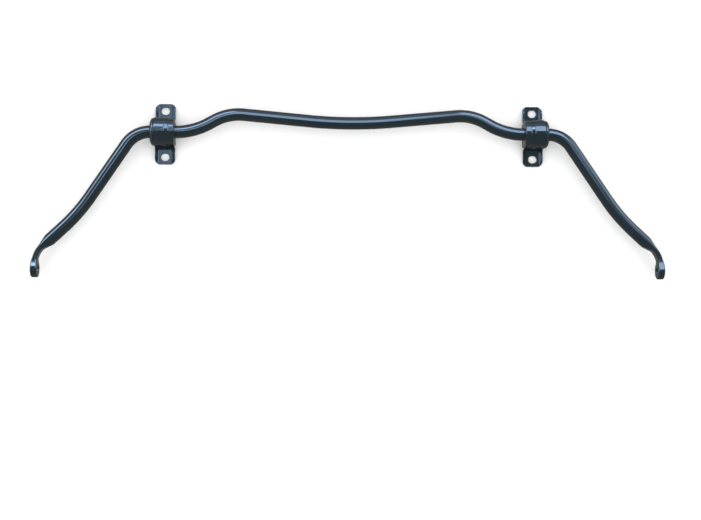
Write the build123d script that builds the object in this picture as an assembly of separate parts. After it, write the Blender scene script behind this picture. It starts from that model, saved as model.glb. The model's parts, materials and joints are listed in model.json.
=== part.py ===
from build123d import *
import os
from math import atan2, cos, hypot, radians, sin, sqrt, tan

# A vehicle sway bar with its two chassis mountings: one bent spring-steel bar with a forged,
# pierced eye at each end, and at each side a slit rubber bushing held by a stamped steel strap.
#
# Frame: millimetres. The origin is the middle of the four chassis bolt holes, on the mounting
# plane. +X runs along the bar to its right end, +Z leaves the chassis, and both arms point to -Y.

# ---- driving dimensions -------------------------------------------------------------------

BAR_RADIUS = 10.0
AXIS_HEIGHT = 22.0              # bar centreline above the mounting plane

BRACKET_X = 296.0               # bracket centre, either side of mid-span
BOLT_HALF_SPACING = 37.5        # bolt hole from the bar axis, along Y
SLOT_WIDTH = 12.0               # clears an M10 bolt
SLOT_LENGTH = 13.5

# Bar centreline, from mid-span to the right-hand link eye: corner points before bending,
# each with the radius that it is bent to.
MID_SPAN = (0.0, 13.0, 725.0)
CROWN = (195.0, 31.0, 80.0)
INNER_KNEE = (249.0, 0.0, 110.0)
OUTER_KNEE = (342.0, 0.0, 44.0)
ARM_BEND = (429.0, -131.5, 270.0)
PADDLE_BEND = (495.5, -194.0, 37.0)
EYE_Y = -219.0

# Forged end. Thickness is measured along X and height along Z once the paddle runs along -Y.
EYE_RADIUS = 13.5
EYE_THICKNESS = 10.5
EYE_HOLE_RADIUS = 6.0
EYE_RIM_RADIUS = 2.0
NECK_THICKNESS = 8.0
NECK_HEIGHT = 19.5
PADDLE_CORNER = 2.6
PADDLE_CROWN = 0.2              # the forged faces bulge by this much
FLATTEN_LEAD = 17.0             # round stock ends this far before the paddle bend starts
FLATTEN_LENGTH = 24.0           # and is fully flat this much further on
FLATTEN_STEPS = 6
SECTION_POINTS = 16             # on the outline of each section of the forged end
EYE_BLEND = 30.0                # radius of the hollow where the neck swells into the eye
EYE_SWELL_STATIONS = (25.0, 18.5, 13.0, 9.0, 5.6)    # before the eye's centre

# Stamped strap. u is measured from the bracket's centre towards the nearer end of the bar.
SHEET = 2.6
STRAP_HALF_WIDTH = 16.0
LAND_RADIUS = 19.2              # inside of the strap on its inboard land
BEAD_RISE = 1.4                 # the outboard two thirds is pressed out by this much
STEP_START = -6.8
STEP_END = -2.4
STEP_BLEND = 3.0
STRAP_LIP_RADIUS = 2.2
EAR_TIP = 49.0
EAR_CORNER = 8.0
FLANGE_HEIGHT = 6.6
FLANGE_BEND = 2.4               # inside radius where the side flanges turn up
FLANGE_BOTTOM_ROUND = 4.0
FLANGE_END = 38.0               # full flange height ends here, and it has faded out by
FLANGE_FADE_END = 46.5
GUSSET_RADIUS = 6.0
FOOT_BEND = 4.0                 # outside radius of the bend between leg and ear

# Rubber bushing
SEAT_GAP = 0.05                 # between rubber and strap, all round
BORE_CLEARANCE = 0.05
INBOARD_PROUD = 0.6
COLLAR_RADIUS = AXIS_HEIGHT     # the collar just touches the mounting plane
COLLAR_START = 16.1
COLLAR_FACE = 21.4
COLLAR_SHOULDER = 5.0
LIP_END = 22.2
LIP_RADIUS = 12.0
SLIT_WIDTH = 0.6

OVERLAP = 1.0                   # pieces of one solid run this far into each other before joining
NEAR = 0.1                      # an edge or corner this close to a place counts as being there
BAR_AXIS = Axis((0, 0, AXIS_HEIGHT), (1, 0, 0))
AXIS_PLANE = Plane((0, 0, AXIS_HEIGHT))
STRAP_SIDE = LAND_RADIUS + BEAD_RISE + SHEET    # outer face of the strap's legs, from the axis


# ---- bent centreline ----------------------------------------------------------------------

def mirrored(corner):
    """The same corner on the left-hand side."""
    return (-corner[0], corner[1], corner[2])


def tangent_length(before, corner, after):
    """Distance from a corner to where its bend starts."""
    heading_in = atan2(corner[1] - before[1], corner[0] - before[0])
    heading_out = atan2(after[1] - corner[1], after[0] - corner[0])
    return abs(corner[2] * tan((heading_out - heading_in) / 2))


def toward(start, target, distance):
    """The point at this distance from start on the way to target."""
    span = hypot(target[0] - start[0], target[1] - start[1])
    share = distance / span
    return (start[0] + share * (target[0] - start[0]), start[1] + share * (target[1] - start[1]))


def bent_wire(start, corners, end):
    """Straight runs joined by tangent arcs, in the plane of the bar axis."""
    points = [start, *corners, end]
    edges = []
    here = start
    for before, corner, after in zip(points, points[1:], points[2:]):
        reach = tangent_length(before, corner, after)
        arc_start = toward(corner, before, reach)
        arc_end = toward(corner, after, reach)
        heading = (corner[0] - before[0], corner[1] - before[1])
        edges.append(Line(here, arc_start))
        edges.append(TangentArc(arc_start, arc_end, tangent=heading))
        here = arc_end
    edges.append(Line(here, end[:2]))
    return AXIS_PLANE * Wire(edges)


EYE_POINT = (PADDLE_BEND[0], EYE_Y)
PADDLE_REACH = tangent_length(ARM_BEND, PADDLE_BEND, EYE_POINT)
PADDLE_START = toward(PADDLE_BEND, ARM_BEND, PADDLE_REACH)
ROUND_END = toward(PADDLE_BEND, ARM_BEND, PADDLE_REACH + FLATTEN_LEAD)
ARM_HEADING = atan2(PADDLE_BEND[1] - ARM_BEND[1], PADDLE_BEND[0] - ARM_BEND[0])
PADDLE_ARC = radians(-90) - ARM_HEADING


# ---- bar ----------------------------------------------------------------------------------

def round_stock():
    """The round bar between the two flattened ends."""
    half = [CROWN, INNER_KNEE, OUTER_KNEE, ARM_BEND]
    corners = [mirrored(c) for c in reversed(half)] + [MID_SPAN] + half
    left_end = (-ROUND_END[0], ROUND_END[1])
    path = bent_wire(left_end, corners, ROUND_END)
    start = Plane(origin=path @ 0, z_dir=path % 0)
    return sweep(start * Circle(BAR_RADIUS), path=path)


def paddle_plane(run):
    """Cross-section plane at this run past the start of the paddle bend; local Y is world Z."""
    radius = PADDLE_BEND[2]
    turn = -min(max(run, 0) / radius, -PADDLE_ARC)
    heading = ARM_HEADING + turn
    centre_x = PADDLE_START[0] + radius * sin(ARM_HEADING)
    centre_y = PADDLE_START[1] - radius * cos(ARM_HEADING)
    straight = min(run, 0) + max(run + radius * PADDLE_ARC, 0)
    x = centre_x - radius * sin(heading) + straight * cos(heading)
    y = centre_y + radius * cos(heading) + straight * sin(heading)
    normal = (cos(heading), sin(heading), 0)
    across = (sin(heading), -cos(heading), 0)
    return Plane(origin=(x, y, AXIS_HEIGHT), x_dir=across, z_dir=normal)


def section_points(thickness, height, corner, crown):
    """Outline of a rounded rectangle with slightly crowned sides: an end and a mid point of
    each of its eight arcs, in order, starting below the +X side."""
    a = thickness / 2
    b = height / 2
    inset = corner * (1 - cos(radians(45)))    # middle of a corner's arc, from each side
    quarter = [(a - crown, corner - b), (a, 0), (a - crown, b - corner), (a - inset, b - inset)]
    quarter += [(a - corner, b - crown), (0, b), (corner - a, b - crown), (inset - a, b - inset)]
    return quarter + [(-x, -y) for x, y in quarter]


def round_points():
    """The round stock's circle, given by the same number of points."""
    angles = [radians(360 / SECTION_POINTS * (k - 1)) for k in range(SECTION_POINTS)]
    return [(BAR_RADIUS * cos(angle), BAR_RADIUS * sin(angle)) for angle in angles]


def section_face(points):
    """A face bounded by arcs, each through three of the points."""
    loop = points + points[:1]
    return make_face(Wire([ThreePointArc(*loop[k:k + 3]) for k in range(0, SECTION_POINTS, 2)]))


def flattened(share):
    """Section part way from round stock (0) to the flat neck (1)."""
    neck = section_points(NECK_THICKNESS, NECK_HEIGHT, PADDLE_CORNER, PADDLE_CROWN)
    pairs = zip(round_points(), neck)
    mixed = [(p[0] + share * (q[0] - p[0]), p[1] + share * (q[1] - p[1])) for p, q in pairs]
    return section_face(mixed)


def widened(before_eye):
    """Section this far before the eye's centre, where the neck swells to meet the eye."""
    swell_centre = NECK_HEIGHT / 2 + EYE_BLEND
    swell_start = sqrt((EYE_RADIUS + EYE_BLEND) ** 2 - swell_centre ** 2)
    if before_eye >= swell_start:
        return flattened(1)
    half_height = swell_centre - sqrt(EYE_BLEND ** 2 - (swell_start - before_eye) ** 2)
    share = (half_height - NECK_HEIGHT / 2) / (EYE_RADIUS - NECK_HEIGHT / 2)
    thickness = NECK_THICKNESS + share * (EYE_THICKNESS - NECK_THICKNESS)
    return section_face(section_points(thickness, 2 * half_height, PADDLE_CORNER, PADDLE_CROWN))


def forged_end():
    """Flattened paddle and pierced eye of the right-hand end."""
    eye_run = PADDLE_BEND[2] * -PADDLE_ARC + (PADDLE_BEND[1] - PADDLE_REACH - EYE_Y)
    sections = []
    for step in range(FLATTEN_STEPS + 1):
        t = step / FLATTEN_STEPS
        run = -FLATTEN_LEAD + t * FLATTEN_LENGTH
        sections.append(paddle_plane(run) * flattened(t * t * (3 - 2 * t)))
    for before_eye in EYE_SWELL_STATIONS:
        sections.append(paddle_plane(eye_run - before_eye) * widened(before_eye))
    paddle = loft(sections)
    across = Plane(origin=(*EYE_POINT, AXIS_HEIGHT), z_dir=(1, 0, 0))
    disc = Cylinder(EYE_RADIUS, EYE_THICKNESS)
    disc = fillet(disc.edges().filter_by(GeomType.CIRCLE), EYE_RIM_RADIUS)
    hole = Cylinder(EYE_HOLE_RADIUS, 4 * EYE_THICKNESS)
    return paddle + across * disc - across * hole


def bar():
    """The whole bar: round stock with a forged end at each side."""
    end = forged_end()
    return round_stock() + end + mirror(end, about=Plane.YZ)


# ---- strap and bushing, drawn for the right-hand side about u = 0 ---------------------------

def stepped_profile(inner, inboard_end, outboard_end, offset):
    """Land, step and bead as one polyline closed down to radius inner."""
    land = LAND_RADIUS + offset
    bead = land + BEAD_RISE
    outline = Polyline(
        (inboard_end, inner),
        (inboard_end, land),
        (STEP_START, land),
        (STEP_END, bead),
        (outboard_end, bead),
        (outboard_end, inner),
        close=True,
    )
    face = make_face(outline)
    steps = [v for v in face.vertices() if STEP_START - NEAR < v.X < STEP_END + NEAR and v.Y > inner]
    return fillet(steps, STEP_BLEND)


def d_shape(profile):
    """Turns a profile over the bar axis and runs it straight down to the mounting plane."""
    half = AXIS_PLANE * profile
    arch = revolve(half, axis=BAR_AXIS, revolution_arc=180)
    legs = extrude(half + mirror(half, about=Plane.XZ), amount=AXIS_HEIGHT, dir=(0, 0, -1))
    return arch + legs


def bracket_side_profile():
    """One ear and its side flanges seen along the bar, from leg to tip."""
    gusset_top = FLANGE_HEIGHT + GUSSET_RADIUS
    gusset_start = (STRAP_SIDE + GUSSET_RADIUS, FLANGE_HEIGHT)
    outline = Wire([
        Line((LAND_RADIUS, 0), (EAR_TIP, 0)),
        Line((EAR_TIP, 0), (EAR_TIP, SHEET)),
        Line((EAR_TIP, SHEET), (FLANGE_FADE_END, SHEET)),
        Line((FLANGE_FADE_END, SHEET), (FLANGE_END, FLANGE_HEIGHT)),
        Line((FLANGE_END, FLANGE_HEIGHT), gusset_start),
        TangentArc(gusset_start, (STRAP_SIDE, gusset_top), tangent=(-1, 0)),
        Line((STRAP_SIDE, gusset_top), (LAND_RADIUS, gusset_top)),
        Line((LAND_RADIUS, gusset_top), (LAND_RADIUS, 0)),
    ])
    return make_face(outline)


def ear():
    """The ear on the +Y side: a shallow tray with side flanges that fade out at the tip."""
    body = extrude(Plane.YZ * bracket_side_profile(), amount=STRAP_HALF_WIDTH, both=True)
    tip = [e for e in body.edges().filter_by(Axis.Z) if e.center().Y > EAR_TIP - NEAR]
    body = fillet(tip, EAR_CORNER)
    long_edges = [e for e in body.edges().filter_by(Axis.Y)
                  if e.center().Z < NEAR and abs(e.center().X) > STRAP_HALF_WIDTH - NEAR]
    body = fillet(long_edges, FLANGE_BOTTOM_ROUND)
    tray_length = 2 * (EAR_TIP - STRAP_SIDE)    # runs out past the tip
    tray = Box(2 * (STRAP_HALF_WIDTH - SHEET), tray_length, AXIS_HEIGHT,
               align=(Align.CENTER, Align.MIN, Align.MIN))
    tray = Pos(0, STRAP_SIDE, SHEET) * tray
    floor = [e for e in tray.edges() if e.center().Z < SHEET + NEAR and e.center().Y < EAR_TIP]
    corners = [e for e in tray.edges().filter_by(Axis.Z) if e.center().Y < EAR_TIP]
    tray = fillet(floor + corners, FLANGE_BEND)
    slot = extrude(SlotOverall(SLOT_LENGTH, SLOT_WIDTH), amount=FLANGE_HEIGHT, both=True)
    return body - tray - Pos(0, BOLT_HALF_SPACING, 0) * slot


def bracket():
    """A strap over the bushing with an ear on each side, pressed from one sheet."""
    strap = stepped_profile(LAND_RADIUS - OVERLAP, -STRAP_HALF_WIDTH, STRAP_HALF_WIDTH, SHEET)
    lip = strap.vertices().group_by(Axis.Y)[-1].sort_by(Axis.X)[-1]
    strap = fillet(lip, STRAP_LIP_RADIUS)
    overlong = 2 * STRAP_HALF_WIDTH
    tunnel = d_shape(stepped_profile(0, -overlong, overlong, 0))
    foot = LAND_RADIUS + BEAD_RISE
    relief = make_face(Wire([
        Line((0, 0), (foot + FOOT_BEND, 0)),
        TangentArc((foot + FOOT_BEND, 0), (foot, FOOT_BEND), tangent=(-1, 0)),
        Line((foot, FOOT_BEND), (0, FOOT_BEND)),
        Line((0, FOOT_BEND), (0, 0)),
    ]))
    relief = extrude(Plane.YZ * relief, amount=overlong, both=True)
    one_ear = ear()
    ears = one_ear + mirror(one_ear, about=Plane.XZ)
    return d_shape(strap) + ears - tunnel - relief - mirror(relief, about=Plane.XZ)


def collar():
    """Rounded rubber collar that stands outboard of the strap."""
    root = COLLAR_START - OVERLAP
    root_radius = LAND_RADIUS - OVERLAP
    shoulder_start = (COLLAR_FACE - COLLAR_SHOULDER, COLLAR_RADIUS)
    shoulder_end = (COLLAR_FACE, COLLAR_RADIUS - COLLAR_SHOULDER)
    outline = Wire([
        Line((root, 0), (root, root_radius)),
        Line((root, root_radius), (COLLAR_START, root_radius)),
        Line((COLLAR_START, root_radius), (COLLAR_START, COLLAR_RADIUS)),
        Line((COLLAR_START, COLLAR_RADIUS), shoulder_start),
        TangentArc(shoulder_start, shoulder_end, tangent=(1, 0)),
        Line(shoulder_end, (LIP_END, LIP_RADIUS)),
        Line((LIP_END, LIP_RADIUS), (LIP_END, 0)),
        Line((LIP_END, 0), (root, 0)),
    ])
    return revolve(AXIS_PLANE * make_face(outline), axis=BAR_AXIS)


def bushing():
    """Rubber block that fills the strap, with its bore, its slit and its collar."""
    inboard_end = -STRAP_HALF_WIDTH - INBOARD_PROUD
    body = d_shape(stepped_profile(0, inboard_end, COLLAR_START, -SEAT_GAP)) + collar()
    length = 4 * STRAP_HALF_WIDTH
    bore = Pos(0, 0, AXIS_HEIGHT) * Rot(0, 90, 0) * Cylinder(BAR_RADIUS + BORE_CLEARANCE, length)
    slit = Pos(0, -AXIS_HEIGHT, AXIS_HEIGHT) * Box(length, 2 * AXIS_HEIGHT, SLIT_WIDTH)
    return body - bore - slit


def write(part, name):
    part.label = name
    export_step(part, f"parts/{name}.step")


os.makedirs("parts", exist_ok=True)
write(bar(), "bar")
for piece, name in ((bracket(), "bracket"), (bushing(), "bushing")):
    right = Pos(BRACKET_X, 0, 0) * piece
    write(right, f"{name}_right")
    write(mirror(right, about=Plane.YZ), f"{name}_left")
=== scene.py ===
"""A vehicle sway bar: glossy dark paint on a bent bar, two stamped straps and two rubber bushings.

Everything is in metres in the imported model's own frame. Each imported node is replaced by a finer
mesh of the same shape, built here from driving dimensions in millimetres and placed by the frame.
"""

import json
import math

import bmesh
import bpy
import numpy as np
from mathutils import Matrix, Vector, noise

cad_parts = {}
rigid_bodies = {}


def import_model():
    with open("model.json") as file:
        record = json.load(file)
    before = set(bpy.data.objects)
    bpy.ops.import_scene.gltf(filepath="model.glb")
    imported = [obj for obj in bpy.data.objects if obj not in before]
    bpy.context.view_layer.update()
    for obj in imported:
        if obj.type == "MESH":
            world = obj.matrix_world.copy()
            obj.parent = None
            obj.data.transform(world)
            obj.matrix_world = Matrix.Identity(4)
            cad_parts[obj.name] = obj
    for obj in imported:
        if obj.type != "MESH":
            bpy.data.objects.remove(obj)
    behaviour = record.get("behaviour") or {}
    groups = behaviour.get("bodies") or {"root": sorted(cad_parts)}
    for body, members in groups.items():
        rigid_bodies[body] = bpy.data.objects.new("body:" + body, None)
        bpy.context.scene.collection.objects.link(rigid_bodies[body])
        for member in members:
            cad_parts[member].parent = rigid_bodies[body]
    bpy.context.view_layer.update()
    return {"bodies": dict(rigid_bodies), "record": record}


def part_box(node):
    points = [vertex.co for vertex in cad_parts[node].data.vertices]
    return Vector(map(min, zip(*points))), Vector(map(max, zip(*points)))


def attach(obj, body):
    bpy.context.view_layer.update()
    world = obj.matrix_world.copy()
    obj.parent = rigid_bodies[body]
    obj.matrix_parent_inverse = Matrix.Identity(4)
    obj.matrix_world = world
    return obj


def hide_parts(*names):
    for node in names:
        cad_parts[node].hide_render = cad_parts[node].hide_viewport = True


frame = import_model()

MM = 0.001

# ---- driving dimensions, millimetres --------------------------------------------------------

BAR_RADIUS = 10.0
# Corners of the bar's centreline before bending, from mid-span to the right-hand eye: (x, y,
# bend radius).
MID_SPAN = (0.0, 13.0, 725.0)
CROWN = (195.0, 31.0, 80.0)
INNER_KNEE = (249.0, 0.0, 110.0)
OUTER_KNEE = (342.0, 0.0, 44.0)
ARM_BEND = (429.0, -131.5, 270.0)
PADDLE_BEND = (495.5, -194.0, 37.0)
BEND_STEP = math.radians(3)
LONGEST_STEP = 2.5

EYE_RADIUS = 13.5
EYE_THICKNESS = 10.5
EYE_RIM = 2.0
HOLE_CHAMFER = 0.4
NECK_THICKNESS = 8.0
NECK_HEIGHT = 19.5
NECK_CORNER = 2.6
NECK_CROWN = 0.2
FLATTEN_LEAD = 17.0             # round stock ends this far before the paddle bend starts
FLATTEN_LENGTH = 24.0
EYE_BLEND = 30.0

SHEET = 2.6
STRAP_HALF_WIDTH = 16.0
LAND_RADIUS = 19.2
BEAD_RISE = 1.4
STEP_START = -6.8
STEP_END = -2.4
STRAP_LIP = 2.2
EAR_TIP = 49.0
EAR_CORNER = 8.0
FLANGE_HEIGHT = 6.6
FLANGE_BEND = 2.4
FLANGE_BOTTOM_ROUND = 4.0
FLANGE_END = 38.0
FLANGE_FADE_END = 46.5
GUSSET_RADIUS = 6.0
FOOT_BEND = 4.0
EDGE = 0.45                     # cut edges are broken by this much

COLLAR_START = 16.1
COLLAR_END = 22.2
COLLAR_LIP_RADIUS = 11.0
INBOARD_PROUD = 0.6
BORE_CLEARANCE = 0.05
SEAT_GAP = 0.05
SLIT_WIDTH = 0.6


# ---- places from the frame --------------------------------------------------------------------

def mount(name):
    """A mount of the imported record, by name."""
    return next(m for m in frame["record"]["mounts"] if m["name"] == name)


def middle(node):
    """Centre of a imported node's box, in millimetres."""
    low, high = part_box(node)
    return (low + high) / 2 / MM


EYE_PLACE = Vector(mount("link_eye_right")["pos_m"]) / MM
EYE_HOLE_RADIUS = mount("link_eye_right")["dims"]["r_mm"]
AXIS_HEIGHT = EYE_PLACE.z
BRACKET_X = middle("bracket_right").x
BOLT_DIMS = mount("chassis_bolts")["dims"]
BOLT_Y = BOLT_DIMS["spacing_y_mm"] / 2
SLOT_RADIUS = BOLT_DIMS["hole_r_mm"]
SLOT_LENGTH = BOLT_DIMS["slot_length_mm"]


# ---- mesh helpers -----------------------------------------------------------------------------

def smooth(t):
    """Smoothstep, held at 0 and 1 outside its range."""
    t = np.clip(t, 0, 1)
    return t * t * (3 - 2 * t)


class Shell:
    """Patches of quads in millimetres that are welded into one closed mesh."""

    def __init__(self):
        self.points = []
        self.faces = []

    def grid(self, rows, close_rows=False, close_columns=False):
        """Quads over a table of points, rows by columns."""
        rows = np.asarray(rows, float)
        count_rows, count_columns = rows.shape[:2]
        base = len(self.points)
        self.points.extend(map(tuple, rows.reshape(-1, 3)))
        for i in range(count_rows if close_rows else count_rows - 1):
            for j in range(count_columns if close_columns else count_columns - 1):
                k = (i + 1) % count_rows
                m = (j + 1) % count_columns
                corners = (i * count_columns + j, i * count_columns + m,
                           k * count_columns + m, k * count_columns + j)
                self.faces.append([base + c for c in corners])

    def cap(self, loop):
        """One face over a closed loop of points."""
        base = len(self.points)
        self.points.extend(map(tuple, loop))
        self.faces.append(list(range(base, base + len(loop))))

    def mesh(self, name):
        """The welded mesh, in metres, with its faces turned outwards."""
        bm = bmesh.new()
        corners = [bm.verts.new(Vector(p) * MM) for p in self.points]
        for face in self.faces:
            bm.faces.new([corners[i] for i in face])
        bmesh.ops.remove_doubles(bm, verts=bm.verts, dist=0.002 * MM)
        bmesh.ops.dissolve_degenerate(bm, edges=bm.edges, dist=0.0005 * MM)
        bmesh.ops.recalc_face_normals(bm, faces=bm.faces)
        if bm.calc_volume(signed=True) < 0:
            bmesh.ops.reverse_faces(bm, faces=bm.faces)
        mesh = bpy.data.meshes.new(name)
        bm.to_mesh(mesh)
        bm.free()
        return mesh


def mirrored(mesh, name):
    """A copy of a mesh, mirrored about the plane of mid-span."""
    copy = mesh.copy()
    copy.name = name
    copy.transform(Matrix.Diagonal((-1, 1, 1, 1)))
    copy.flip_normals()
    return copy


def add_piece(name, mesh, material, body, node):
    """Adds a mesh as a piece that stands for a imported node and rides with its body."""
    mesh.shade_smooth()
    piece = bpy.data.objects.new(name, mesh)
    bpy.context.scene.collection.objects.link(piece)
    mesh.materials.clear()
    mesh.materials.append(material)
    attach(piece, body)
    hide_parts(node)
    return piece


# ---- bar: centreline --------------------------------------------------------------------------

def bent_path(corners):
    """Straight runs joined by tangent arcs, as (length, x, y, heading, bend) from start to end;
    bend is the heading's change per millimetre."""
    path = []
    here = corners[0]
    for before, corner, after in zip(corners, corners[1:], corners[2:]):
        heading_in = math.atan2(corner[1] - before[1], corner[0] - before[0])
        heading_out = math.atan2(after[1] - corner[1], after[0] - corner[0])
        turn = heading_out - heading_in
        radius = corner[2]
        reach = radius * math.tan(abs(turn) / 2)
        arc_x = corner[0] - reach * math.cos(heading_in)
        arc_y = corner[1] - reach * math.sin(heading_in)
        path.append((math.hypot(arc_x - here[0], arc_y - here[1]), here[0], here[1], heading_in, 0.0))
        path.append((radius * abs(turn), arc_x, arc_y, heading_in, math.copysign(1 / radius, turn)))
        here = (corner[0] + reach * math.cos(heading_out), corner[1] + reach * math.sin(heading_out))
    end = corners[-1]
    path.append((math.hypot(end[0] - here[0], end[1] - here[1]), here[0], here[1], heading_out, 0.0))
    return path


def whole_path():
    """The bar's centreline from the left-hand eye's centre to the right-hand one."""
    half = [CROWN, INNER_KNEE, OUTER_KNEE, ARM_BEND, PADDLE_BEND, (EYE_PLACE.x, EYE_PLACE.y)]
    return bent_path([(-c[0], *c[1:]) for c in reversed(half)] + [MID_SPAN] + half)


def station(path, run):
    """Place and heading at this distance along a path, which runs on straight past its end."""
    for length, x, y, heading, bend in path:
        if run <= length:
            break
        run -= length
    else:
        run += length
    if bend == 0:
        return x + run * math.cos(heading), y + run * math.sin(heading), heading
    turned = heading + bend * run
    return (x + (math.sin(turned) - math.sin(heading)) / bend,
            y - (math.cos(turned) - math.cos(heading)) / bend, turned)


def ring_runs(path, margin):
    """Distances along the path that get a ring, from one margin to the other."""
    total = sum(piece[0] for piece in path)
    runs = []
    start = 0.0
    for length, _, _, _, bend in path:
        step = min(LONGEST_STEP, BEND_STEP / abs(bend)) if bend else LONGEST_STEP
        count = math.ceil(length / step)
        runs += [start + length * k / count for k in range(count)]
        start += length
    inner = [run for run in runs if margin + 1 < run < total - margin - 1]
    return [margin, *inner, total - margin]


# ---- bar: sections ----------------------------------------------------------------------------

SIDE_STEPS = 16                 # edges on each of a section's four sides, corner to corner
CORNER_STEPS = SIDE_STEPS // 4  # of these, edges on the half of a rounded corner at each end


def round_ring():
    """The bar's circle as (across, up) points, from the lower front corner."""
    turn = np.radians(-45 + 360 / (4 * SIDE_STEPS) * np.arange(4 * SIDE_STEPS))
    return BAR_RADIUS * np.column_stack([np.cos(turn), np.sin(turn)])


def neck_face():
    """Broad side of the neck as (half thickness, up) points, between the middles of two
    corners: slightly crowned between them."""
    flat_half = NECK_HEIGHT / 2 - NECK_CORNER
    edge = NECK_THICKNESS / 2 - NECK_CROWN
    turns = np.radians(np.linspace(45, 0, CORNER_STEPS, endpoint=False))
    corner = [(edge - NECK_CORNER * (1 - math.cos(t)), flat_half + NECK_CORNER * math.sin(t))
              for t in turns]
    flat = [(edge + NECK_CROWN * (1 - (v / flat_half) ** 2), v)
            for v in np.linspace(-flat_half, flat_half, 2 * CORNER_STEPS + 1)]
    low = [(half, -up) for half, up in corner]
    return np.array(low + flat + corner[::-1])


def neck_edge():
    """Narrow upper side of the neck as (across, up) points between the same two corners."""
    return np.array([(out, NECK_HEIGHT / 2 - sink)
                     for out, sink in rim_section(NECK_THICKNESS / 2 - NECK_CROWN, NECK_CORNER)])


def neck_ring():
    """The flat neck's outline with a point for each of the circle's."""
    half_ring = np.vstack([neck_face()[:-1], neck_edge()[:-1]])
    return np.vstack([half_ring, -half_ring])


def placed(ring, x, y, heading):
    """A ring of (across, up) points set across the centreline."""
    across = (math.sin(heading), -math.cos(heading))
    return np.column_stack([
        x + ring[:, 0] * across[0],
        y + ring[:, 0] * across[1],
        AXIS_HEIGHT + ring[:, 1],
    ])


# ---- bar: eye ---------------------------------------------------------------------------------

NECK_EDGE = NECK_HEIGHT / 2
SWELL_START = math.sqrt((EYE_RADIUS + EYE_BLEND) ** 2 - (NECK_EDGE + EYE_BLEND) ** 2)
SWELL_TURN = math.asin(SWELL_START / (EYE_RADIUS + EYE_BLEND))
SWELL_END = EYE_HOLE_RADIUS + 1 # the eye has its full thickness from here, before its centre
SWELL_STEPS = 6
EYE_STEPS = 44
FACE_STEPS = 9


def eye_outline():
    """Outline from the neck's upper edge round the eye to its lower edge: (away, up) points
    about the hole's centre with their outward normals."""
    points = []
    normals = []
    for k in range(SWELL_STEPS):
        turn = SWELL_TURN * k / SWELL_STEPS
        points.append((-SWELL_START + EYE_BLEND * math.sin(turn),
                       NECK_EDGE + EYE_BLEND - EYE_BLEND * math.cos(turn)))
        normals.append((-math.sin(turn), math.cos(turn)))
    first = math.pi / 2 + SWELL_TURN
    for k in range(EYE_STEPS + 1):
        turn = first - 2 * first * k / EYE_STEPS
        points.append((EYE_RADIUS * math.cos(turn), EYE_RADIUS * math.sin(turn)))
        normals.append((math.cos(turn), math.sin(turn)))
    upper = list(zip(points, normals))
    lower = [((p[0], -p[1]), (n[0], -n[1])) for p, n in reversed(upper[:SWELL_STEPS])]
    both = upper + lower
    return np.array([p for p, n in both]), np.array([n for p, n in both])


def eye_share(away):
    """How far the forging has swollen from neck (0) to eye (1) at this place."""
    return smooth((np.asarray(away) + SWELL_START) / (SWELL_START - SWELL_END))


def face_crown(away, up):
    """How far the face has fallen at this place from its middle's height, by its crown."""
    across = np.clip(np.asarray(up) / (NECK_EDGE - NECK_CORNER), -1, 1)
    return NECK_CROWN * across ** 2 * (1 - eye_share(away))


def eye_half_thickness(away):
    """Half the forging's thickness at its middle."""
    return NECK_THICKNESS / 2 + eye_share(away) * (EYE_THICKNESS - NECK_THICKNESS) / 2


def rim_radius(away):
    """Rounding between face and rim."""
    return NECK_CORNER + eye_share(away) * (EYE_RIM - NECK_CORNER)


def rim_section(half, radius):
    """Edge of the plate as (out, sink) points, from the middle of one rounding to the other."""
    turns = np.radians(np.linspace(45, 0, CORNER_STEPS + 1))
    upper = [(half - radius + radius * math.sin(t), radius * (1 - math.cos(t))) for t in turns]
    flat = np.linspace(half - radius, radius - half, 2 * CORNER_STEPS + 1)[1:-1]
    return upper + [(out, 0.0) for out in flat] + [(-out, sink) for out, sink in reversed(upper)]


def fine_outline(outline):
    """The eye's outline as closely spaced points, run on along the neck's edges."""
    lead = np.linspace(-SWELL_START - 2 * NECK_CORNER, -SWELL_START, 60)[:-1]
    edge = np.full(len(lead), NECK_EDGE)
    dense = [np.column_stack([lead, edge])]
    for a, b in zip(outline, outline[1:]):
        dense.append(a + (b - a) * np.linspace(0, 1, 25)[:-1, None])
    return np.vstack([*dense, outline[-1:], np.column_stack([lead[::-1], -edge])])


def face_surface(spots, fine):
    """How far the forging's face stands from its middle plane at (away, up) spots."""
    gap = np.min(np.linalg.norm(spots[:, None] - fine[None], axis=2), axis=1)
    radius = rim_radius(spots[:, 0])
    deep = np.clip(radius - gap, 0, None)
    rounding = radius - np.sqrt(np.clip(radius ** 2 - deep ** 2, 0, None))
    return eye_half_thickness(spots[:, 0]) - face_crown(spots[:, 0], spots[:, 1]) - rounding


def eye_face_rings(boundary, hole):
    """Rings of (away, up) spots from the hole's chamfer out to the boundary, close together
    over the rim's rounding."""
    start = hole * (EYE_HOLE_RADIUS + HOLE_CHAMFER)
    rim = rim_radius(boundary[:, 0])
    whole = np.linalg.norm(boundary - start, axis=1)
    arc = rim * math.cos(math.pi / 4)
    shares = [k / FACE_STEPS * (1 - arc / whole) for k in range(FACE_STEPS + 1)]
    for k in range(1, CORNER_STEPS + 1):
        swing = k / CORNER_STEPS * math.pi / 4
        shares.append(1 - (arc - rim * math.sin(swing)) / whole)
    return [start + (boundary - start) * t[:, None] for t in shares]


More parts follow.
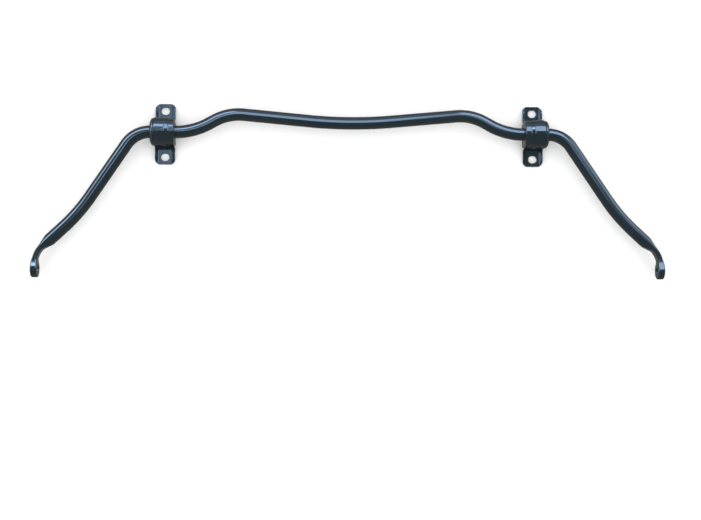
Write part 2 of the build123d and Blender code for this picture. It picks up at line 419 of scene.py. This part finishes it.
def eye(shell, path):
    """Eye patches for the right-hand end: both faces, the rim and the hole."""
    total = sum(piece[0] for piece in path)

    def at(away, up, out):
        x, y, heading = station(path, total + away)
        return (x - out * math.sin(heading), y + out * math.cos(heading), AXIS_HEIGHT + up)

    outline, normals = eye_outline()
    fine = fine_outline(outline)
    cut = neck_face()[:, 1]
    inset = rim_radius(outline[:, 0]) * (1 - math.cos(math.pi / 4))
    rim_line = outline - normals * inset[:, None]
    neck_line = np.column_stack([np.full(len(cut) - 2, -SWELL_START), cut[1:-1]])
    boundary = np.vstack([rim_line, neck_line])
    turns = np.arctan2(boundary[:, 1], boundary[:, 0])
    hole = np.column_stack([np.cos(turns), np.sin(turns)])
    rim = []
    for (away, up), (along, rise) in zip(outline, normals):
        half = float(eye_half_thickness(away) - face_crown(away, NECK_EDGE))
        section = rim_section(half, float(rim_radius(away)))
        rim.append([at(away - along * sink, up - rise * sink, out) for out, sink in section])
    shell.grid(rim)
    rings = eye_face_rings(boundary, hole)
    for sign, last in ((1, 0), (-1, -1)):
        table = []
        for ring in rings:
            outs = sign * face_surface(ring, fine)
            table.append([at(away, up, out) for (away, up), out in zip(ring, outs)])
        table[-1][:len(rim)] = [row[last] for row in rim]
        shell.grid(table, close_columns=True)
    half = EYE_THICKNESS / 2
    chamfered = EYE_HOLE_RADIUS + HOLE_CHAMFER
    wall = ((half, chamfered), (half - HOLE_CHAMFER, EYE_HOLE_RADIUS),
            (HOLE_CHAMFER - half, EYE_HOLE_RADIUS), (-half, chamfered))
    shell.grid([[at(away, up, out) for away, up in hole * radius] for out, radius in wall],
               close_columns=True)


def bar_mesh():
    """Round stock, flattened paddles and eyes as one closed mesh."""
    path = whole_path()
    total = sum(piece[0] for piece in path)
    after_bend = path[-1][0] + path[-2][0]      # from the start of the paddle bend to the eye
    round_end = after_bend + FLATTEN_LEAD
    circle = round_ring()
    neck = neck_ring()
    rows = []
    for run in ring_runs(path, SWELL_START):
        share = float(smooth((round_end - min(run, total - run)) / FLATTEN_LENGTH))
        rows.append(placed(circle + share * (neck - circle), *station(path, run)))
    shell = Shell()
    shell.grid(rows, close_columns=True)
    right_eye = Shell()
    eye(right_eye, path)
    for side in (1, -1):
        base = len(shell.points)
        shell.points.extend((side * x, y, z) for x, y, z in right_eye.points)
        shell.faces.extend([base + i for i in face[::side]] for face in right_eye.faces)
    return shell.mesh("bar_body")


def hand_forged(mesh):
    """Gives the flattened ends the slight unevenness of hot forging."""
    reach = 60 * MM
    depth = 0.12 * MM
    grain = 70.0
    for vertex in mesh.vertices:
        place = vertex.co
        near = 1 - (place.y - EYE_PLACE.y * MM) / reach
        if near <= 0:
            continue
        off_hole = math.hypot(place.y / MM - EYE_PLACE.y, place.z / MM - AXIS_HEIGHT)
        held = float(smooth((off_hole - EYE_HOLE_RADIUS - 1) / 3))
        lift = noise.noise(place * grain) - 0.5
        vertex.co = place + vertex.normal * (lift * depth * held * float(smooth(near * 2)))


# ---- strap ------------------------------------------------------------------------------------

GUSSET = (LAND_RADIUS + BEAD_RISE + SHEET + GUSSET_RADIUS, FLANGE_HEIGHT + GUSSET_RADIUS)


def bead(u):
    """How far the sheet is pressed out at this place across the strap."""
    spread = 1.1                # the die's rounded corners soften the step
    t = (u - STEP_START + spread) / (STEP_END - STEP_START + 2 * spread)
    return BEAD_RISE * smooth(t)


def half_section(height, outer_round, bottom_round):
    """Upper and lower outline of the sheet from its middle to one edge, as (u, n) points with n
    from the underside, for a flange that stands this high over the floor."""
    crest = SHEET + height
    inner_wall = STRAP_HALF_WIDTH - SHEET
    floor_end = inner_wall - FLANGE_BEND
    broken = min(EDGE, height / 2)
    top = [(u, SHEET) for u in np.linspace(0, floor_end, 15)]
    for turn in np.radians(np.linspace(0, 90, 7))[1:]:
        top.append((floor_end + FLANGE_BEND * math.sin(turn),
                    SHEET + (height - broken) * (1 - math.cos(turn))))
    top += [(u, crest) for u in np.linspace(inner_wall + broken, STRAP_HALF_WIDTH - outer_round, 3)]
    for turn in np.radians(np.linspace(0, 90, 9))[1:]:
        top.append((STRAP_HALF_WIDTH - outer_round * (1 - math.sin(turn)),
                    crest - outer_round * (1 - math.cos(turn))))
    bottom = []
    for turn in np.radians(np.linspace(0, 90, 8)):
        bottom.append((STRAP_HALF_WIDTH - bottom_round * (1 - math.cos(turn)),
                       bottom_round * (1 - math.sin(turn))))
    bottom += [(u, 0.0) for u in np.linspace(STRAP_HALF_WIDTH - bottom_round, 0, 15)[1:]]
    return top, bottom


def section(height, bead_share, foot, scale=1.0):
    """Closed outline of the sheet at one station, as (u, n) points.

    bead_share 1 has the full step across the strap, 0 lies flat at the bead's level. foot is 0
    on the arch and 1 on the ear.
    """
    sides = []
    for side in (1, -1):
        lip = STRAP_LIP if side > 0 else EDGE
        outer_round = lip + (EDGE + 0.35 - lip) * foot
        bottom_round = EDGE + (FLANGE_BOTTOM_ROUND - EDGE) * foot
        room = 0.9 * (SHEET + height - outer_round)
        top, bottom = half_section(height, outer_round, min(bottom_round, room))
        sides.append(([(side * u, n) for u, n in top], [(side * u, n) for u, n in bottom]))
    (right_top, right_bottom), (left_top, left_bottom) = sides
    loop = left_top[::-1][:-1] + right_top + right_bottom + left_bottom[::-1][1:]
    loop = np.array(loop)
    rise = bead_share * bead(loop[:, 0]) + (1 - bead_share) * BEAD_RISE
    return np.column_stack([loop[:, 0] * scale, loop[:, 1] + rise])


def corner_distance(across, down, radius, turn):
    """Distance from the gusset's centre to a rounded corner between an upright line this far
    across and a level line this far down."""
    cos, sin = math.cos(turn), math.sin(turn)
    if across * sin <= (down - radius) * cos:
        return across / cos
    if down * cos <= (across - radius) * sin:
        return down / sin
    reach = (across - radius) * cos + (down - radius) * sin
    spare = reach ** 2 + radius ** 2 - (across - radius) ** 2 - (down - radius) ** 2
    return reach + math.sqrt(spare)


def arch_row(turn):
    """Section on the arch, turn measured from the crown."""
    loop = section(0.0, 1.0, 0.0)
    radius = LAND_RADIUS + loop[:, 1]
    return np.column_stack([
        loop[:, 0], radius * math.sin(turn), AXIS_HEIGHT + radius * math.cos(turn)])


def leg_row(z):
    """Section on the upright leg; the step across it dies out towards the foot."""
    drop = (AXIS_HEIGHT - z) / (AXIS_HEIGHT - GUSSET[1])
    loop = section(0.0, 1 - float(smooth(drop)), 0.35 * drop)
    return np.column_stack([loop[:, 0], LAND_RADIUS + loop[:, 1], np.full(len(loop), z)])


def foot_row(turn):
    """Section across the foot bend, fanned about the gusset's centre."""
    share = turn / (math.pi / 2)
    inner = corner_distance(GUSSET_RADIUS, GUSSET[1] - SHEET, FLANGE_BEND, turn)
    outer = corner_distance(GUSSET_RADIUS + SHEET, GUSSET[1], FOOT_BEND, turn)
    height = max(inner - GUSSET_RADIUS, 0)
    loop = section(height, 0.0, 0.35 + 0.65 * share)
    n = loop[:, 1] - BEAD_RISE
    low = np.clip(n / SHEET, 0, 1)
    out = outer + (inner - outer) * low - np.clip(n - SHEET, 0, None)
    return np.column_stack([
        loop[:, 0], GUSSET[0] - out * math.cos(turn), GUSSET[1] - out * math.sin(turn)])


def ear_row(y, inset=0.0):
    """Section across the ear; its corners are rounded and its flanges fade towards the tip."""
    fade = np.clip((FLANGE_FADE_END - y) / (FLANGE_FADE_END - FLANGE_END), 0, 1)
    height = (FLANGE_HEIGHT - SHEET) * float(smooth(fade))
    past = max(y - (EAR_TIP - EAR_CORNER), 0)
    drawn_in = EAR_CORNER - math.sqrt(max(EAR_CORNER ** 2 - past ** 2, 0))
    tip = float(smooth(past / EAR_CORNER))
    scale = (STRAP_HALF_WIDTH - drawn_in - inset) / STRAP_HALF_WIDTH
    loop = section(height, 0.0, 1 - 0.85 * tip, scale)
    n = loop[:, 1] - BEAD_RISE
    n = SHEET / 2 + (n - SHEET / 2) * (1 - 2 * inset / SHEET)
    return np.column_stack([loop[:, 0], np.full(len(loop), y), n])


def strap_half():
    """Rows of sections from the crown to the ear's tip, on the +Y side."""
    rows = [arch_row(math.radians(a)) for a in np.linspace(0, 90, 40)]
    rows += [leg_row(z) for z in np.linspace(AXIS_HEIGHT, GUSSET[1], 9)[1:]]
    rows += [foot_row(math.radians(a)) for a in np.linspace(0, 90, 22)[1:]]
    corner_start = EAR_TIP - EAR_CORNER
    rows += [ear_row(y) for y in np.linspace(GUSSET[0], corner_start, 10)[1:]]
    rows += [ear_row(corner_start + (EAR_CORNER - EDGE) * math.sin(a))
             for a in np.radians(np.linspace(0, 84, 14))[1:]]
    rows += [ear_row(EAR_TIP - EDGE * (1 - math.sin(a)), EDGE * (1 - math.cos(a)))
             for a in np.radians(np.linspace(0, 90, 5))]
    return rows


def slot_cutter(side):
    """Slot with broken edges, as a tool to cut one ear with."""
    straight = (SLOT_LENGTH - 2 * SLOT_RADIUS) / 2
    above = 2.0
    levels = ((-above, EDGE + above), (0.0, EDGE), (EDGE, 0.0), (SHEET - EDGE, 0.0), (SHEET, EDGE),
              (SHEET + above, EDGE + above))
    rows = []
    for z, grow in levels:
        radius = SLOT_RADIUS + grow
        ring = []
        for k in range(72):
            turn = math.radians(5 * k + 2.5)
            shift = math.copysign(straight, math.cos(turn))
            ring.append((shift + radius * math.cos(turn), side * BOLT_Y + radius * math.sin(turn), z))
        rows.append(ring)
    shell = Shell()
    shell.grid(rows, close_columns=True)
    shell.cap(rows[0])
    shell.cap(rows[-1])
    return shell.mesh("slot_cutter")


def cut(mesh, tools):
    """The mesh with each tool's volume removed."""
    body = bpy.data.objects.new("body", mesh)
    bpy.context.scene.collection.objects.link(body)
    cutters = []
    for tool in tools:
        cutter = bpy.data.objects.new("cutter", tool)
        bpy.context.scene.collection.objects.link(cutter)
        modifier = body.modifiers.new("cut", "BOOLEAN")
        modifier.operation = "DIFFERENCE"
        modifier.solver = "EXACT"
        modifier.object = cutter
        cutters.append(cutter)
    graph = bpy.context.evaluated_depsgraph_get()
    result = bpy.data.meshes.new_from_object(body.evaluated_get(graph), depsgraph=graph)
    for item in [body, *cutters]:
        bpy.data.objects.remove(item)
    result.name = mesh.name
    return result


def bracket_mesh():
    """The whole strap at the right-hand side."""
    half = strap_half()
    other = [row * (1, -1, 1) for row in half[1:]]
    shell = Shell()
    shell.grid(other[::-1] + half, close_columns=True)
    shell.cap(other[-1])
    shell.cap(half[-1])
    mesh = cut(shell.mesh("bracket"), [slot_cutter(1), slot_cutter(-1)])
    mesh.transform(Matrix.Translation((BRACKET_X * MM, 0, 0)))
    return mesh


# ---- bushing ----------------------------------------------------------------------------------

def bushing_profile():
    """Closed outline of the rubber along the bar: (x, radius, D share) from the inboard bore
    edge, over the outside, to the outboard bore edge and back through the bore."""
    bore = BAR_RADIUS + BORE_CLEARANCE
    face = -STRAP_HALF_WIDTH - INBOARD_PROUD
    outside = LAND_RADIUS - SEAT_GAP
    rounding = 1.2
    profile = [(face + 0.5, bore, 0.0), (face + 0.15, bore + 0.15, 0.0), (face, bore + 0.6, 0.0)]
    for t in np.linspace(0.15, 1, 6):
        radius = bore + t * (outside - rounding - bore)
        profile.append((face, radius, float(t)))
    for a in np.radians(np.linspace(0, 90, 6))[1:]:
        profile.append((face + rounding * (1 - math.cos(a)),
                        outside - rounding * (1 - math.sin(a)), 1.0))
    for x in np.linspace(STEP_START - 1.1, STEP_END + 1.1, 9):
        profile.append((x, outside + float(bead(x)), 1.0))
    profile.append((COLLAR_START, outside + BEAD_RISE, 1.0))
    profile.append((COLLAR_START, AXIS_HEIGHT - 0.5, 0.0))
    profile.append((COLLAR_START + 0.15, AXIS_HEIGHT - 0.15, 0.0))
    depth = COLLAR_END - COLLAR_START - 0.5
    drop = AXIS_HEIGHT - COLLAR_LIP_RADIUS
    power = 2.3                 # squarer than an ellipse, as the moulded shoulder is
    for a in np.radians(np.linspace(0, 90, 15)):
        profile.append((COLLAR_START + 0.5 + depth * math.sin(a) ** (2 / power),
                        COLLAR_LIP_RADIUS + drop * math.cos(a) ** (2 / power), 0.0))
    profile.append((COLLAR_END - 0.05, bore + 0.5, 0.0))
    profile.append((COLLAR_END - 0.35, bore, 0.0))
    for x in np.linspace(COLLAR_END - 4, face + 4, 6):
        profile.append((x, bore, 0.0))
    return profile


def d_factor(turn, radius):
    """How much further out the D-shaped outline lies than its arch, at this turn from the
    crown."""
    sin, cos = abs(math.sin(turn)), math.cos(turn)
    if cos >= 0:
        return 1.0
    sharp = 14                  # the higher, the tighter the D's two lower corners
    return (sin ** sharp + (abs(cos) * radius / AXIS_HEIGHT) ** sharp) ** (-1 / sharp)


def bushing_mesh():
    """Rubber of the right-hand side, slit along the side that faces the arms."""
    profile = bushing_profile()
    slit = 3 * math.pi / 2
    turns = list(slit + np.radians(np.linspace(0, 360, 145)))
    rows = []
    for k, turn in enumerate(turns):
        row = []
        for x, radius, share in profile:
            reach = radius * (1 + share * (d_factor(turn, radius) - 1))
            y = reach * math.sin(turn)
            z = reach * math.cos(turn)
            if k in (0, len(turns) - 1):
                z = SLIT_WIDTH / 2 if k == 0 else -SLIT_WIDTH / 2
                y = -math.sqrt(reach ** 2 - z ** 2)
            row.append((BRACKET_X + x, y, AXIS_HEIGHT + z))
        rows.append(row)
    shell = Shell()
    shell.grid(rows, close_columns=True)
    shell.cap(rows[0])
    shell.cap(rows[-1])
    return shell.mesh("bushing")


# ---- materials --------------------------------------------------------------------------------

class Nodes:
    """Short forms for building the node tree of a material or of the world."""

    def __init__(self, owner, place="Object"):
        self.owner = owner
        owner.use_nodes = True
        self.tree = owner.node_tree
        self.tree.nodes.clear()
        self.place = self.add("ShaderNodeTexCoord").outputs[place]

    def add(self, kind, **settings):
        """A new node, with its own settings."""
        node = self.tree.nodes.new(kind)
        for key, value in settings.items():
            setattr(node, key, value)
        return node

    def set(self, node, **values):
        """Links or sets the inputs of a node by name."""
        for key, value in values.items():
            socket = node.inputs[key.replace("_", " ")]
            if isinstance(value, bpy.types.NodeSocket):
                self.tree.links.new(value, socket)
            else:
                socket.default_value = value
        return node

    def noise(self, scale, detail=3.0, rough=0.5, place=None):
        """Noise from 0 to 1, at the usual place unless another is given."""
        node = self.add("ShaderNodeTexNoise")
        self.set(node, Vector=place or self.place, Scale=scale, Detail=detail, Roughness=rough)
        return node.outputs["Fac"]

    def stretched(self, factors):
        """The usual place, scaled by a factor in each direction."""
        node = self.add("ShaderNodeMapping")
        self.set(node, Vector=self.place, Scale=factors)
        return node.outputs["Vector"]

    def ramp(self, value, low, high, to_low=0.0, to_high=1.0):
        """A smooth step between two values."""
        node = self.add("ShaderNodeMapRange", interpolation_type="SMOOTHSTEP")
        self.set(node, Value=value, From_Min=low, From_Max=high, To_Min=to_low, To_Max=to_high)
        return node.outputs["Result"]

    def maths(self, operation, a, b=0.0):
        """The result of one sum on numbers or sockets."""
        node = self.add("ShaderNodeMath", operation=operation)
        for socket, value in zip(node.inputs, (a, b)):
            if isinstance(value, bpy.types.NodeSocket):
                self.tree.links.new(value, socket)
            else:
                socket.default_value = value
        return node.outputs["Value"]

    def mix(self, factor, a, b):
        """A blend of two colours."""
        node = self.add("ShaderNodeMix", data_type="RGBA")
        sockets = (node.inputs["Factor"], node.inputs[6], node.inputs[7])
        for socket, value in zip(sockets, (factor, a, b)):
            if isinstance(value, bpy.types.NodeSocket):
                self.tree.links.new(value, socket)
            else:
                socket.default_value = value
        return node.outputs[2]

    def bump(self, height, distance, strength=1.0, normal=None):
        """A normal bent by a height, over an earlier normal if one is given."""
        node = self.add("ShaderNodeBump")
        self.set(node, Height=height, Distance=distance, Strength=strength)
        if normal:
            self.set(node, Normal=normal)
        return node.outputs["Normal"]

    def edges(self, low=0.52, high=0.60):
        """1 on outward edges and 0 elsewhere."""
        return self.ramp(self.add("ShaderNodeNewGeometry").outputs["Pointiness"], low, high)

    def recess(self, distance):
        """1 deep in corners and 0 on open surfaces."""
        node = self.add("ShaderNodeAmbientOcclusion", samples=8)
        self.set(node, Distance=distance)
        return self.ramp(node.outputs["AO"], 0.75, 0.15)

    def band(self, value, low, high, soft):
        """1 between two values and 0 outside them, with soft edges."""
        rise = self.ramp(value, low - soft / 2, low + soft / 2)
        fall = self.ramp(value, high + soft / 2, high - soft / 2)
        return self.maths("MULTIPLY", rise, fall)

    def choose(self, factor, first, second):
        """A blend of two shaders."""
        node = self.add("ShaderNodeMixShader")
        for socket, value in zip(node.inputs, (factor, first, second)):
            self.tree.links.new(value, socket)
        return node.outputs[0]

    def finish(self, **values):
        """Ends a material with one principled shader."""
        shader = self.set(self.add("ShaderNodeBsdfPrincipled"), **values)
        return self.output(shader.outputs["BSDF"])

    def output(self, surface, kind="ShaderNodeOutputMaterial"):
        """Links the surface to the output and returns the material or world."""
        self.tree.links.new(surface, self.add(kind).inputs["Surface"])
        return self.owner


def paint(name, base, deep, edge_wear_and_highlight_share):
    """Thick gloss paint over black-primed steel: orange peel, settled dust, and convex edges
    lightened to grey, partly as worn thin paint and partly as a painted edge highlight.
    """
    n = Nodes(bpy.data.materials.new(name))
    cloud = n.ramp(n.noise(18, 2), 0.35, 0.65)
    colour = n.mix(cloud, base, deep)
    mottle = n.ramp(n.noise(420, 4, 0.6), 0.45, 0.75, 0.0, 0.35)
    colour = n.mix(mottle, colour, tuple(1.6 * c for c in base[:3]) + (1,))
    # Convex edges lightened towards grey: partly worn thin paint, partly a painted edge highlight;
    # the last argument sets how strongly.
    edge_wear_and_highlight = n.maths("MULTIPLY", n.edges(), n.ramp(n.noise(240, 4, 0.7), 0.42, 0.62))
    colour = n.mix(n.maths("MULTIPLY", edge_wear_and_highlight, edge_wear_and_highlight_share), colour, (0.085, 0.085, 0.08, 1))
    dirt = n.maths("MULTIPLY", n.recess(0.006), n.ramp(n.noise(300, 4, 0.7), 0.3, 0.7))
    colour = n.mix(n.maths("MULTIPLY", dirt, 0.55), colour, (0.020, 0.017, 0.012, 1))
    dust = n.ramp(n.noise(1500, 3, 0.7), 0.66, 0.74)
    colour = n.mix(n.maths("MULTIPLY", dust, 0.12), colour, (0.10, 0.10, 0.09, 1))
    peel = n.bump(n.noise(260, 2, 0.4), 0.000012)
    peel = n.bump(n.noise(70, 1, 0.3), 0.000030, normal=peel)
    scuff = n.ramp(n.noise(90, 5, 0.75, n.stretched((1, 9, 9))), 0.60, 0.72)
    rough = n.maths("ADD", n.maths("MULTIPLY", scuff, 0.05), n.maths("MULTIPLY", dirt, 0.25))
    coat_rough = n.maths("ADD", rough, 0.02)
    return n.finish(Base_Color=colour, Roughness=n.maths("ADD", rough, 0.34), Metallic=0.0, IOR=1.5,
                    Specular_IOR_Level=0.10, Coat_Weight=1.0, Coat_Roughness=coat_rough,
                    Coat_IOR=1.75, Normal=peel, Coat_Normal=peel)


def rubber(name):
    """Moulded rubber under an oversprayed film: dark, fairly shiny, finely pitted."""
    n = Nodes(bpy.data.materials.new(name))
    cloud = n.ramp(n.noise(60, 3), 0.35, 0.65)
    colour = n.mix(cloud, (0.008, 0.010, 0.013, 1), (0.016, 0.019, 0.023, 1))
    bloom = n.ramp(n.noise(500, 5, 0.7), 0.55, 0.75)
    colour = n.mix(n.maths("MULTIPLY", bloom, 0.35), colour, (0.045, 0.046, 0.046, 1))
    dirt = n.recess(0.005)
    colour = n.mix(n.maths("MULTIPLY", dirt, 0.5), colour, (0.018, 0.014, 0.010, 1))
    grain = n.bump(n.noise(900, 4, 0.6), 0.00003)
    grain = n.bump(n.noise(120, 2, 0.4), 0.00010, normal=grain)
    coat_rough = n.maths("ADD", n.maths("MULTIPLY", bloom, 0.18), 0.09)
    return n.finish(Base_Color=colour, Roughness=n.ramp(bloom, 0, 1, 0.38, 0.62), IOR=1.5,
                    Coat_Weight=0.85, Coat_Roughness=coat_rough, Coat_IOR=1.6, Normal=grain,
                    Coat_Normal=grain)


def floor_matte(name, seen, reflected):
    """Pale matte floor, which the paint mirrors as a dark one."""
    n = Nodes(bpy.data.materials.new(name))
    cloud = n.ramp(n.noise(1.2, 3), 0.3, 0.7)
    faint = tuple(0.985 * c for c in seen[:3]) + (1,)
    plain = n.set(n.add("ShaderNodeBsdfDiffuse"), Color=n.mix(cloud, seen, faint))
    dark = n.set(n.add("ShaderNodeEmission"), Color=reflected, Strength=1.0)
    mirrored_ray = n.add("ShaderNodeLightPath").outputs["Is Glossy Ray"]
    return n.output(n.choose(mirrored_ray, plain.outputs[0], dark.outputs[0]))


# ---- build ------------------------------------------------------------------------------------

def build_object():
    """The bar, both brackets and both bushings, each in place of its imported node."""
    # The last figure sets how far edges are lightened to grey, as worn paint and painted edge
    # highlight together.
    bar_paint = paint("bar_paint", (0.005, 0.007, 0.008, 1), (0.007, 0.009, 0.010, 1), 0.35)
    strap_paint = paint("strap_paint", (0.005, 0.007, 0.009, 1), (0.007, 0.009, 0.011, 1), 0.8)
    bushing_rubber = rubber("bushing_rubber")
    bar = bar_mesh()
    hand_forged(bar)
    add_piece("bar_body", bar, bar_paint, "bar", "bar")
    bracket = bracket_mesh()
    bushing = bushing_mesh()
    for side in ("right", "left"):
        for mesh, kind, material in ((bracket, "bracket", strap_paint),
                                     (bushing, "bushing", bushing_rubber)):
            node = f"{kind}_{side}"
            shaped = mesh if side == "right" else mirrored(mesh, node)
            piece = add_piece(node + "_finish", shaped, material, "chassis_mounts", node)
            evened = piece.modifiers.new("even_normals", "WEIGHTED_NORMAL")
            evened.keep_sharp = True


# ---- studio -----------------------------------------------------------------------------------

FLOOR_HALF = 6.0
FLOOR_LEVEL = -0.0005
ARM_REACH = 0.23            # from the bar's axis back to the eyes
OFFSET_REACH = 0.006        # what the bar's middle needs when it swings down instead


def lower_with_bar(floor):
    """Lets the floor sink as the bar rolls, so that nothing that swings down cuts through it."""
    sink = floor.driver_add("location", 2).driver
    turn = sink.variables.new()
    turn.name = "turn"
    turn.type = "TRANSFORMS"
    turn.targets[0].id = frame["bodies"]["bar"]
    turn.targets[0].transform_type = "ROT_X"
    turn.targets[0].transform_space = "WORLD_SPACE"
    sink.expression = (f"{FLOOR_LEVEL} - {ARM_REACH} * max(sin(turn), 0)"
                       f" - {OFFSET_REACH} * max(-sin(turn), 0)")


def build_floor():
    """The floor, which sinks out of the way as the bar rolls."""
    corners = [(-FLOOR_HALF, -FLOOR_HALF, 0), (FLOOR_HALF, -FLOOR_HALF, 0),
               (FLOOR_HALF, FLOOR_HALF, 0), (-FLOOR_HALF, FLOOR_HALF, 0)]
    mesh = bpy.data.meshes.new("floor")
    mesh.from_pydata(corners, [], [(0, 1, 2, 3)])
    mesh.materials.append(floor_matte("floor_matte", (0.94, 0.94, 0.94, 1), (0.24, 0.25, 0.23, 1)))
    floor = bpy.data.objects.new("floor", mesh)
    bpy.context.scene.collection.objects.link(floor)
    lower_with_bar(floor)


# Soft studio light that the gloss mirrors: a dim room with a few soft panels, all of one colour.
# Each panel spans a part of the direction's X component, then of its turn about the X axis in
# degrees (0 is the back horizon, 90 straight up, 180 the horizon towards the arms), and then has
# its brightness. Later panels cover earlier ones.
ROOM = (0.14, 0.24, 0.30, 1)
DAYLIGHT = (0.6, 0.9, 1.3)
MATTE_LIGHT = 1.4               # strength of the even white light
SOFT_ACROSS = 0.1
SOFT_AROUND = 5
PANELS = (
    ("back_wall", -1.2, 1.2, 0, 60, 0.7),
    ("window_left", -0.8, -0.1, 30, 60, 3),
    ("window_right", 0.1, 0.5, 30, 70, 5),
    ("overhead", -0.1, 0.1, 50, 90, 4),
    ("strip_light", -0.7, -0.1, 40, 50, 10),
    ("side_left", -1.2, -0.8, 40, 90, 4),
    ("side_right", 0.7, 1.2, -10, 50, 3),
)


def studio_panels(n):
    """Radiance that the paint mirrors in a direction, from the panels."""
    split = n.set(n.add("ShaderNodeSeparateXYZ"), Vector=n.place)
    around = n.maths("ARCTAN2", split.outputs["Z"], split.outputs["Y"])
    around = n.maths("MULTIPLY", around, 180 / math.pi)
    colour = ROOM
    for _, left, right, low, high, brightness in PANELS:
        inside = n.maths("MULTIPLY", n.band(split.outputs["X"], left, right, SOFT_ACROSS),
                         n.band(around, low, high, SOFT_AROUND))
        colour = n.mix(inside, colour, (*(brightness * part for part in DAYLIGHT), 1))
    return colour


def build_world():
    """Even white light for the camera and matte surfaces, soft panels for glossy ones."""
    world = bpy.data.worlds.new("studio")
    bpy.context.scene.world = world
    world.cycles.sampling_method = "NONE"       # otherwise the white also lights the gloss
    n = Nodes(world, "Generated")
    bright = n.set(n.add("ShaderNodeBackground"), Color=(1, 1, 1, 1), Strength=MATTE_LIGHT)
    mirrored_light = n.set(n.add("ShaderNodeBackground"), Color=studio_panels(n), Strength=1.0)
    mirrored_ray = n.add("ShaderNodeLightPath").outputs["Is Glossy Ray"]
    n.output(n.choose(mirrored_ray, bright.outputs[0], mirrored_light.outputs[0]),
             "ShaderNodeOutputWorld")


CAMERA_PLACE = (-0.0664, -0.3656, 1.997)
CAMERA_AIM = (0.0008, -0.2032)
CAMERA_LENS = 64.25
CAMERA_SENSOR = 36.0
CAMERA_ROLL = math.radians(0.07)


def build_camera():
    """Almost overhead, a little to the arms' side and to the left of mid-span."""
    place = Vector(CAMERA_PLACE)
    aim = Vector((*CAMERA_AIM, AXIS_HEIGHT * MM))
    camera = bpy.data.cameras.new("camera")
    camera.sensor_width = CAMERA_SENSOR
    camera.lens = CAMERA_LENS
    holder = bpy.data.objects.new("camera", camera)
    bpy.context.scene.collection.objects.link(holder)
    forward = (aim - place).normalized()
    right = forward.cross(Vector((0, 1, 0))).normalized()
    up = right.cross(forward)
    turned = Matrix((right, up, -forward)).transposed() @ Matrix.Rotation(CAMERA_ROLL, 3, "Z")
    holder.location = place
    holder.rotation_euler = turned.to_euler()
    bpy.context.scene.camera = holder
    bpy.context.scene.view_settings.view_transform = "Standard"


build_object()
build_floor()
build_world()
build_camera()
